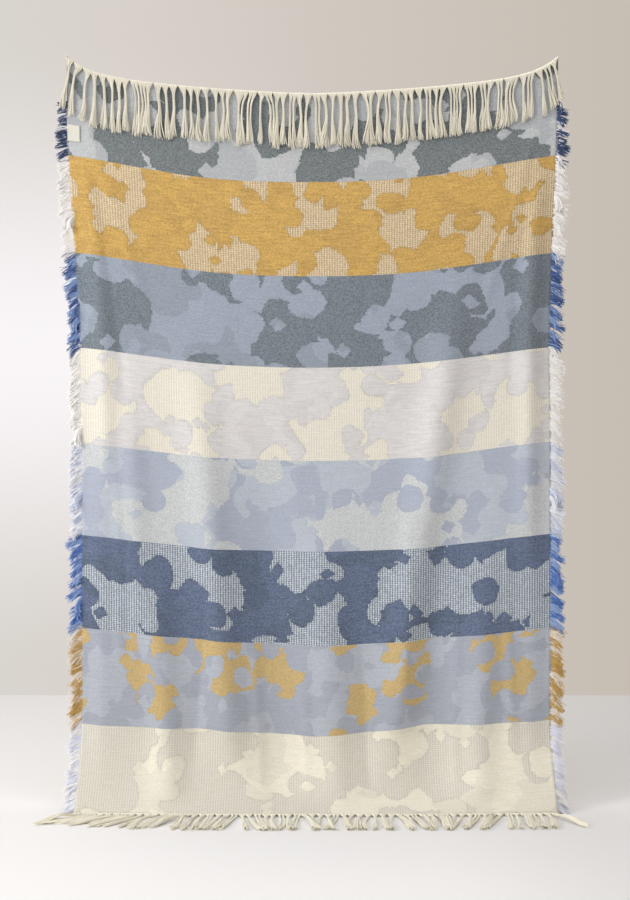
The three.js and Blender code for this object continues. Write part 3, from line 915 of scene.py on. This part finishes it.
# %% Hanging the bunches
TOP_RADIUS, TOP_OPENS_FROM, TOP_OPENS_BY, TOP_FLATTENED = 0.0025, 0.46, 2.9, 0.30
TOP_BOW, TOP_WAVE, NECK_SHIFT = 0.0040, 0.0020, 0.0062
TOP_LEAN, LEAN_ALONG = 0.0050, 1.6
CORNER_SPLAY, SPLAY_SHARPNESS, SPLAY_ALONG = 0.024, 14, 1.5
OFF_FACE = 0.0026
# Painted shade: the top fringe's yarns take only the darker creams.
TOP_SHADES_PAINTED_DARK = (0.0, 0.42)
MAP_COLUMNS = 48

sideways, outward, radii = bunch(
    steps_along, TOP_LENGTH, TOP_RADIUS, OVER_EDGE[-1],
    TOP_OPENS_FROM * TOP_LENGTH, TOP_OPENS_BY, TOP_FLATTENED,
)
splay = CORNER_SPLAY * np.sign(root_across) * np.abs(root_across / HALF_CLOTH) ** SPLAY_SHARPNESS
along_share = steps_along / TOP_LENGTH
lean = TOP_BOW * uneven(strand, BOW_ROW)[:, None] * np.sin(np.pi * along_share)
lean = lean + TOP_WAVE * uneven(strand, WAVE_ROW)[:, None] * np.sin(3 * np.pi * along_share)
necked = smoothstep(steps_along, OVER_EDGE[-1], NECK_END)
lean = lean + NECK_SHIFT * uneven(strand, NECK_ROW)[:, None] * necked
lean = lean + TOP_LEAN * uneven(strand, LEAN_ROW)[:, None] * along_share**LEAN_ALONG
lean = lean + splay[:, None] * along_share**SPLAY_ALONG
clears = smoothstep(steps_along, OVER_EDGE[1], OVER_EDGE[3])
paths = off_cloth(
    root_across[:, None, None] + sideways + lean[:, None, :],
    below_edge,
    below=-np.maximum(hang_height, 0) * np.ones_like(below_edge),
    front=np.maximum(hang_front + outward, OFF_FACE * clears),
)
top_fringe = yarn_mesh(
    "top_fringe_yarns", paths.reshape(YARN_TOTAL, -1, 3), radii.reshape(YARN_TOTAL, -1),
    rng.uniform(*TOP_SHADES_PAINTED_DARK, YARN_TOTAL), MAP_COLUMNS,
)
print("top fringe:", len(top_fringe.data.polygons), "faces")

# %% [markdown]
# ## The gathered fringe at the foot
#
# The same bunches leave the hem and lie on the ground, where they fell: swept to the left at the left
# end, and in small groups elsewhere, their ends drawn together. Their middle lines turn as they go, and
# no yarn sinks below the ground.

# %% Where each bunch on the ground points
FOOT_LENGTH = 0.142
HEADING_ACROSS = (-0.65, -0.54, -0.33, -0.12, 0.09, 0.30, 0.50, 0.60, 0.65)
HEADING_DEGREES = (-54, -46, -16, 10, -14, 9, -15, 8, 30)
HEADING_SCATTER, BEND_SCATTER = 9, 22
GROUP_SIZES = (3, 2, 4, 3, 2, 3, 4, 2, 3, 3)
DRAWN_TOGETHER, GROUPED_FROM = 0.62, -0.42

group = np.repeat(np.arange(3 * len(GROUP_SIZES)), np.tile(GROUP_SIZES, 3))[:STRAND_COUNT]
group_middle = np.array([root_across[group == number].mean() for number in group])
group_turn = rng.uniform(-1, 1, group.max() + 1)[group] * HEADING_SCATTER
drawn = (group_middle - root_across) * DRAWN_TOGETHER * (root_across > GROUPED_FROM)
heading = np.interp(root_across, HEADING_ACROSS, HEADING_DEGREES) + group_turn
heading = np.radians(heading) + np.arctan2(drawn, FOOT_LENGTH)
bend = np.radians(rng.uniform(-1, 1, STRAND_COUNT) * BEND_SCATTER)
print(group.max() + 1, "groups on the ground")

# %% Laying the bunches on the ground
FOOT_RADIUS, FOOT_OPENS_FROM, FOOT_OPENS_BY, FOOT_FLATTENED = 0.0032, 0.40, 1.9, 0.2
LEAVING_HEM, LANDING, LYING_STEPS = (0.0, 0.004, 0.009), 0.016, 13
TURNED_BY = 0.05 # how far from the hem a bunch has turned to its heading
FOOT_YARN_LENGTHS = (0.84, 1.06)
HEM_BELOW, HEM_FRONT = 0.0005, 0.001
ARCH_RISE, PRESSED = 0.012, 0.9
# Painted light: the foot fringe's yarns take only the lighter creams.
FOOT_SHADES_PAINTED_LIGHT = (0.80, 1.0)

foot_steps = np.concatenate([LEAVING_HEM, np.linspace(LANDING, FOOT_LENGTH, LYING_STEPS)])
foot_share = foot_steps / FOOT_LENGTH
way = heading[:, None] * smoothstep(foot_steps, 0.0, TURNED_BY) + bend[:, None] * foot_share**2
gaps = np.diff(foot_steps, prepend=0.0)
ahead_x, ahead_y = np.cumsum(np.sin(way) * gaps, axis=1), np.cumsum(-np.cos(way) * gaps, axis=1)

sideways, outward, radii = bunch(
    foot_steps, FOOT_LENGTH, FOOT_RADIUS, 0.0,
    FOOT_OPENS_FROM * FOOT_LENGTH, FOOT_OPENS_BY, FOOT_FLATTENED,
)
length_share = rng.uniform(*FOOT_YARN_LENGTHS, BY_YARN)
hem = off_cloth(root_across, CLOTH_LENGTH, below=HEM_BELOW, front=HEM_FRONT)
x = hem[:, None, None, 0] + ahead_x[:, None, :] * length_share + sideways * np.cos(way)[:, None, :]
y = hem[:, None, None, 1] + ahead_y[:, None, :] * length_share + sideways * np.sin(way)[:, None, :]
lying = GROUND_Z + FOOT_RADIUS + YARN_RADIUS
arch = ARCH_RISE * np.maximum(uneven(strand, ARCH_ROW), 0)[:, None] * np.sin(np.pi * foot_share) ** 2
middle_z = mix(hem[:, 2:3], lying, smoothstep(foot_steps, 0.0, LANDING)) + arch
z = np.maximum(middle_z[:, None, :] + outward * PRESSED, GROUND_Z + radii)
paths = np.stack([x, y, z], axis=-1)
foot_fringe = yarn_mesh(
    "foot_fringe_yarns", paths.reshape(YARN_TOTAL, -1, 3), radii.reshape(YARN_TOTAL, -1),
    rng.uniform(*FOOT_SHADES_PAINTED_LIGHT, YARN_TOTAL), MAP_COLUMNS,
)
print("foot fringe:", len(foot_fringe.data.polygons), "faces")

# %% [markdown]
# ### The cream yarn's finish
#
# Undyed cotton is a warm cream, and every yarn has a shade of its own between two creams. The top
# fringe's yarns are kept to the darker creams as painted shade, and the foot's to the lighter as painted
# light. Each yarn is plied, so a fine spiral runs round it: the yarn's own map gives turns round it and
# metres along it, and a wave on their sum is the spiral.

# %% Cream yarn
PLY_TURN, FUZZ_LENGTH = 0.006, 0.004
CREAM_TONES = ((211, 206, 190), (255, 251, 233))
PLY_TONE, FUZZ_TONE, FUZZ_RISE = 0.04, 0.08, 0.5
YARN_ROUGHNESS = (0.84, 0.96)

cream, cream_shader, wire = new_finish("cream_yarn", 0.9, sheen=0.5)
yarn_place = wire.node("ShaderNodeUVMap", {"uv_map": "Yarn"}, {})
shade_and_painted_light = wire.node("ShaderNodeAttribute", {"attribute_name": "shade"}, {}, output="Fac")
plies = wave(axis_of(yarn_place, "X") * PLY_TURN + axis_of(yarn_place, "Y"), PLY_TURN)
fuzz = noise(yarn_place, FUZZ_LENGTH, 2.0)
# A yarn's shade mixes its own tone with painted shade on the top fringe and painted light on the foot.
cream_tone = tint(shade_and_painted_light, *[paint(*tone) for tone in CREAM_TONES])
feed(cream_shader, "Base Color", times(cream_tone, mix(1 - PLY_TONE, 1, plies) + (fuzz - 0.5) * FUZZ_TONE))
feed(cream_shader, "Roughness", mix(*YARN_ROUGHNESS, fuzz))
feed_bumps(cream_shader, plies + fuzz * FUZZ_RISE, strength=0.7, depth=0.0004)
for fringe in (top_fringe, foot_fringe):
    fringe.data.materials.append(cream)
print("cream nodes:", len(cream.node_tree.nodes))

# %% [markdown]
# ## The frayed fringe at the sides
#
# The weft is cut at both sides, and its ends hang out in loose clumps that droop with their own weight.
# Each band has its own two weft colours, so the sides repeat the bands. A clump's ends share a direction,
# each end strays a little from it, and the colour is kept with every point as an attribute.

# %% Weft colours by band
# Each row: two dyes, and the share of the clumps that take the first.
WEFT_COLOURS = [
    ((66, 86, 124), (240, 239, 244), 0.80),
    ((250, 247, 247), (254, 252, 250), 0.50),
    ((80, 106, 162), (150, 176, 222), 0.60),
    ((254, 253, 250), (252, 250, 249), 0.50),
    ((222, 230, 250), (246, 248, 254), 0.50),
    ((96, 132, 202), (158, 184, 228), 0.58),
    ((208, 172, 104), (240, 230, 216), 0.66),
    ((234, 238, 253), (252, 251, 253), 0.50),
]
STRAYS = 0.12 # the share of ends that take the other dye
BAND_BLUR, DYE_SHADES = 0.02, (0.88, 1.0)
SIDE_ENDS, SIDE_CLUMPS, SIDE_STEPS = 4000, 140, 7


def weft_dyes(down, clump):
    """Each clump takes one of its band's two dyes, and each end is a little lighter or darker."""
    band = np.clip(down / BAND_LENGTH + rng.normal(0, BAND_BLUR, SIDE_ENDS), 0, BAND_COUNT - 1).astype(int)
    first = np.array([linear(*row[0]) for row in WEFT_COLOURS])[band]
    second = np.array([linear(*row[1]) for row in WEFT_COLOURS])[band]
    in_turn = clump * GOLDEN_SHARE % 1
    takes_first = in_turn < np.array([row[2] for row in WEFT_COLOURS])[band]
    takes_first = takes_first ^ (rng.uniform(0, 1, SIDE_ENDS) < STRAYS)
    return np.where(takes_first[:, None], first, second) * rng.uniform(*DYE_SHADES, (SIDE_ENDS, 1))


print(f"{SIDE_ENDS} weft ends a side, in {SIDE_CLUMPS} clumps")

# %% How the weft ends hang out
SIDE_FIRST, SIDE_LAST = 0.105, 1.985
SIDE_LENGTH, SIDE_RADIUS, SIDE_ROOT = 0.045, 0.00105, 0.004
CLUMP_WIDTHS, LENGTH_SHARES, RADIUS_SHARES = (0.4, 1.6), (0.80, 1.08), (0.8, 1.2)
DRAWN_TO_TIP, DRAWN_ALONG = 0.46, 1.5 # how far the tips of a clump are drawn together
START_DEGREES, START_STRAY = (10, 32), 6
DROOP_DEGREES, DROOP_STRAY = (18, 40), 8
STIFF_SHARE, SHORT_SHARE, STIFF_FROM, STIFF_TO = 0.35, 0.8, 0.10, 0.40 # the ends below the corners
FLOPPED = 0.05 # the share of clumps that have fallen over the face of the cloth
FLOPPED_DROOP, FLOPPED_DEPTH, FLOPPED_ALONG = 50, 0.009, 0.6
CLUMP_DEPTH, END_DEPTH = 0.0028, 0.0022
SIDE_WAVER, WAVER_ANGLES = 0.0010, (4, 8)
TAPER, TAPER_ALONG = 0.45, 3


def side_ends(side):
    """Paths, radii and dyes of the weft ends along one side, -1 for the left and 1 for the right."""
    each = (SIDE_ENDS, 1)
    down = np.sort(rng.uniform(SIDE_FIRST, SIDE_LAST, SIDE_ENDS))
    widths = rng.uniform(*CLUMP_WIDTHS, SIDE_CLUMPS)
    widths = widths / widths.sum() * (SIDE_LAST - SIDE_FIRST)
    clump_foot = SIDE_FIRST + np.cumsum(widths)
    clump = np.minimum(np.searchsorted(clump_foot, down), SIDE_CLUMPS - 1)
    drawn = ((clump_foot - widths / 2)[clump] - down) * DRAWN_TO_TIP
    share = np.linspace(0, 1, SIDE_STEPS)
    settled = smoothstep(down, STIFF_FROM, STIFF_TO)

    def strayed(degrees, stray):
        """An angle for each clump, and a little either way for each of its ends."""
        by_clump = np.radians(rng.uniform(*degrees, SIDE_CLUMPS))[clump]
        return by_clump + np.radians(rng.normal(0, stray, SIDE_ENDS))

    flopped = (rng.uniform(0, 1, SIDE_CLUMPS) < FLOPPED)[clump]
    start = strayed(START_DEGREES, START_STRAY)
    droop = strayed(DROOP_DEGREES, DROOP_STRAY) * mix(STIFF_SHARE, 1, settled)
    droop = np.where(flopped, droop + np.radians(FLOPPED_DROOP), droop)
    length = SIDE_LENGTH * rng.uniform(*LENGTH_SHARES, SIDE_CLUMPS)[clump]
    length = length * rng.uniform(*LENGTH_SHARES, SIDE_ENDS) * mix(SHORT_SHARE, 1, settled)
    angle = start[:, None] + droop[:, None] * share
    step = (length / (SIDE_STEPS - 1))[:, None]

    def gone(part):
        """How far the ends have gone at each step, from that part of their direction."""
        return np.cumsum(part * step, axis=1) - part[:, :1] * step

    out = gone(np.cos(angle)) - SIDE_ROOT
    drop = gone(np.sin(angle)) + drawn[:, None] * share**DRAWN_ALONG
    depth = rng.normal(0, CLUMP_DEPTH, SIDE_CLUMPS)[clump] + rng.normal(0, END_DEPTH, SIDE_ENDS)
    depth = depth[:, None] * share + np.where(flopped, FLOPPED_DEPTH, 0.0)[:, None] * share**FLOPPED_ALONG
    waver = SIDE_WAVER * np.sin(share * rng.uniform(*WAVER_ANGLES, each) + rng.uniform(0, 2 * np.pi, each))
    edge = np.full(each, side * HALF_CLOTH)
    paths = off_cloth(edge, down[:, None], right=side * out, front=depth + waver)
    paths[:, :, 2] = np.maximum(paths[:, :, 2] - drop, GROUND_Z + SIDE_RADIUS)
    radii = SIDE_RADIUS * (1 - TAPER * share**TAPER_ALONG) * rng.uniform(*RADIUS_SHARES, each)
    return paths, radii, weft_dyes(down, clump)


print(f"weft ends of about {SIDE_LENGTH * 1000:.0f} mm")

# %% Making both sides
SIDE_MAP_COLUMNS = 60

side_fringes = {}
for side_name, side in (("left", -1), ("right", 1)):
    paths, radii, dyes = side_ends(side)
    shades = rng.uniform(0, 1, SIDE_ENDS)
    made = yarn_mesh(f"{side_name}_fringe_ends", paths, radii, shades, SIDE_MAP_COLUMNS)
    dye_points = np.repeat(np.column_stack([dyes, np.ones(SIDE_ENDS)]), SIDE_STEPS * YARN_SIDES, axis=0)
    made.data.attributes.new("dye", "FLOAT_COLOR", "POINT").data.foreach_set("color", dye_points.ravel())
    side_fringes[side_name] = made
    print(made.name, len(made.data.polygons), "faces")

# %% [markdown]
# ### The weft yarn's finish
#
# Each end already carries its dye as an attribute, so one material serves all of them: it reads the dye,
# and a fine noise along the yarn's own map makes it fuzzy.

# %% Weft yarn
WEFT_FUZZ_LENGTH, WEFT_FUZZ_TONE = 0.005, 0.2

weft, weft_shader, wire = new_finish("weft_yarn", 0.9, sheen=0.2)
dye = wire.node("ShaderNodeAttribute", {"attribute_name": "dye"}, {}, output="Color")
weft_fuzz = noise(wire.node("ShaderNodeUVMap", {"uv_map": "Yarn"}, {}), WEFT_FUZZ_LENGTH, 2.0)
feed(weft_shader, "Base Color", times(dye, 1 + (weft_fuzz - 0.5) * WEFT_FUZZ_TONE))
feed(weft_shader, "Roughness", mix(*YARN_ROUGHNESS, weft_fuzz))
feed_bumps(weft_shader, weft_fuzz, strength=0.5, depth=0.0003)
for fringe in side_fringes.values():
    fringe.data.materials.append(weft)
print("weft nodes:", len(weft.node_tree.nodes))

# %% [markdown]
# ## The label
#
# A short piece of white tape is sewn to the front at the left edge. It is blank. Its sewn edge is held
# down and its free edge lifts a little, so its grid follows the cloth with a small lift, and Solidify
# gives it its thickness. The stitches are short yarns that arch over its sewn edge.

# %% Making the label
LABEL_WIDE, LABEL_LONG, LABEL_THICK = 0.033, 0.043, 0.0007
LABEL_INSET, LABEL_TOP, LABEL_LIFT = 0.001, 0.16, 0.0022
LABEL_COLUMNS, LABEL_ROWS = 14, 18
FREE_LIFT, FREE_FROM = 0.0016, -0.2
CORNER_LIFT, CORNER_FROM_MIDDLE, CORNER_FROM = 0.0008, 0.3, -0.3


def on_label(x, y):
    """The place of a point of the label, from -0.5 to 0.5 each way. Its free edge is at x of 0.5."""
    across = LABEL_INSET + (x + 0.5) * LABEL_WIDE - HALF_CLOTH
    lift = FREE_LIFT * smoothstep(x, FREE_FROM, 0.5)
    corner = CORNER_LIFT * smoothstep(np.abs(y), CORNER_FROM_MIDDLE, 0.5) * smoothstep(x, CORNER_FROM, 0.5)
    lift = lift + corner
    return off_cloth(across, LABEL_TOP + (0.5 - y) * LABEL_LONG, front=LABEL_LIFT + lift)


label = grid_on_cloth("label_tape", LABEL_COLUMNS, LABEL_ROWS, on_label)[0]
thicken(label, LABEL_THICK)
print("label:", len(label.data.polygons), "faces")

# %% Its stitches
STITCHES, STITCH_STEPS, STITCH_LENGTH, STITCH_RADIUS = 9, 7, 0.0032, 0.00035
STITCH_ACROSS, STITCH_REACH = -0.42, 0.44
STITCH_RISE, STITCH_SINK = 0.0006, 0.0003

run = np.linspace(-0.5, 0.5, STITCH_STEPS)
stitch_y = np.linspace(-STITCH_REACH, STITCH_REACH, STITCHES)[:, None] + run * STITCH_LENGTH / LABEL_LONG
stitch_paths = on_label(np.full_like(stitch_y, STITCH_ACROSS), stitch_y)
stitch_paths[:, :, 1] -= LABEL_THICK / 2 + STITCH_RISE * np.cos(run * np.pi) - STITCH_SINK
stitch_radii = np.full(stitch_y.shape, STITCH_RADIUS)
stitches = yarn_mesh("label_stitches", stitch_paths, stitch_radii, np.ones(STITCHES), columns=3)
print(STITCHES, "stitches")

# %% [markdown]
# ### The label's finish
#
# Tape is a close, even weave, so two crossed waves are its grain, and a broad faint noise keeps its white
# from being one flat colour.

# %% Label tape
TAPE_TONES = ((213, 212, 200), (222, 221, 210))
RIB_DOWN, RIB_ACROSS, SOIL_LENGTH = 0.0011, 0.0014, 0.02
TAPE_ROUGHNESS = (0.7, 0.8)

tape, tape_shader, wire = new_finish("label_tape", 0.75, sheen=0.1)
tape_place = wire.node("ShaderNodeTexCoord", {}, {}, output="Object")
grain = wave(axis_of(tape_place, "Z"), RIB_DOWN) * wave(axis_of(tape_place, "X"), RIB_ACROSS)
soil = noise(tape_place, SOIL_LENGTH, 2.0)
feed(tape_shader, "Base Color", tint(soil, *[paint(*tone) for tone in TAPE_TONES]))
feed(tape_shader, "Roughness", mix(*TAPE_ROUGHNESS, soil))
feed_bumps(tape_shader, grain, strength=0.5, depth=0.0002)
for piece in (label, stitches):
    piece.data.materials.append(tape)
print("label finish:", tape.name)

# %% [markdown]
# ## Handing the pieces to the frame
#
# Every piece rides on the blanket's one body, and each solid that a piece stands for is hidden.

# %% Riding and replacing
PIECES = [
    (cloth, "cloth", "woven_cotton"),
    (top_fringe, "top_fringe", "cream_yarn"),
    (foot_fringe, "foot_fringe", "cream_yarn"),
    (side_fringes["left"], "left_fringe", "weft_yarn"),
    (side_fringes["right"], "right_fringe", "weft_yarn"),
    (label, "label", "label_tape"),
    (stitches, None, "label_tape"),
]
for piece, node, slot in PIECES:
    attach(piece, "root")
    if node:
        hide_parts(node)
triangles = sum(len(piece.data.loop_triangles) for piece, node, slot in PIECES)
print(len(PIECES), "pieces,", triangles, "triangles")
